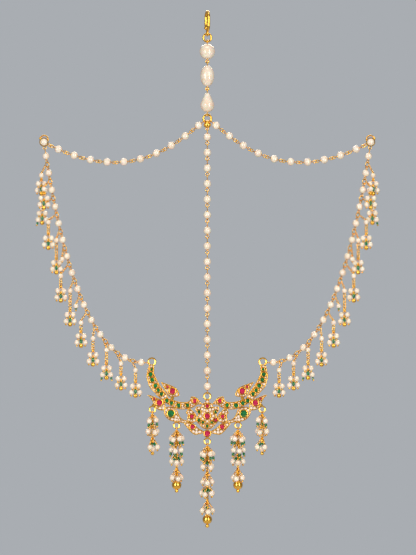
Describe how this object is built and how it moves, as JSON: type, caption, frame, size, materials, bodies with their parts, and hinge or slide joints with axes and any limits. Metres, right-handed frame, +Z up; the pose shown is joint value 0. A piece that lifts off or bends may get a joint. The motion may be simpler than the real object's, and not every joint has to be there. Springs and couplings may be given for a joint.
{
  "type": "matha patti",
  "caption": "Pearl and gold matha patti for a bride's hair: hook, centre string, side chains, fringed chains and a stone-set peacock plaque with tassels.",
  "frame": {"origin": "the point inside the top of the hook's bend that the jewel hangs by", "axes": "+Z up along the hanging jewel, -Y out of its front, +X to the right of someone who faces it"},
  "size_m": [0.1814, 0.0089, 0.2716],
  "materials": {
    "gold": "polished 22 carat gold",
    "pearl": "nacre",
    "ruby": "cut and polished",
    "emerald": "cut and polished"
  },
  "bodies": {
    "hook": {"hook": "gold"},
    "jewel": {"hook_ring": "gold", "round_pearl": "pearl", "round_pearl_pin": "gold", "oval_pearl": "pearl", "oval_pearl_pin": "gold", "teardrop_pearl": "pearl", "teardrop_pearl_pin": "gold", "junction_ring": "gold", "junction_bead": "gold", "centre_pearls": "pearl", "centre_pins": "gold", "side_pearls_left": "pearl", "side_pearls_right": "pearl", "side_pins_left": "gold", "side_pins_right": "gold", "corner_setting_left": "gold", "corner_setting_right": "gold", "corner_pearl_left": "pearl", "corner_pearl_right": "pearl", "fringe_pearls_left": "pearl", "fringe_pearls_right": "pearl", "fringe_pins_left": "gold", "fringe_pins_right": "gold", "fringe_drops_left": "gold", "fringe_drops_right": "gold", "plaque": "gold", "flower_ruby": "ruby", "flower_top_ruby": "ruby", "flower_side_ruby": "ruby", "pendant_ruby": "ruby", "head_ruby_left": "ruby", "head_ruby_right": "ruby", "bud_ruby_left": "ruby", "bud_ruby_right": "ruby", "upper_leaf_ruby_left": "ruby", "upper_leaf_ruby_right": "ruby", "lower_leaf_ruby_left": "ruby", "lower_leaf_ruby_right": "ruby", "bottom_leaf_ruby_left": "ruby", "bottom_leaf_ruby_right": "ruby", "large_emerald_left": "emerald", "large_emerald_right": "emerald", "tail_emeralds_left": "emerald", "tail_emeralds_right": "emerald", "breast_emeralds_left": "emerald", "breast_emeralds_right": "emerald", "flower_emeralds": "emerald", "small_rubies": "ruby", "tassel_outer_left": "gold", "tassel_inner_left": "gold", "tassel_centre": "gold", "tassel_inner_right": "gold", "tassel_outer_right": "gold"}
  },
  "joints": [
    {"name": "hook_swing", "type": "hinge", "parent": "hook", "child": "jewel", "pos_m": [0, 0, -0.01068], "axis": [1, 0, 0], "range_deg": [-45, 45]}
  ]
}
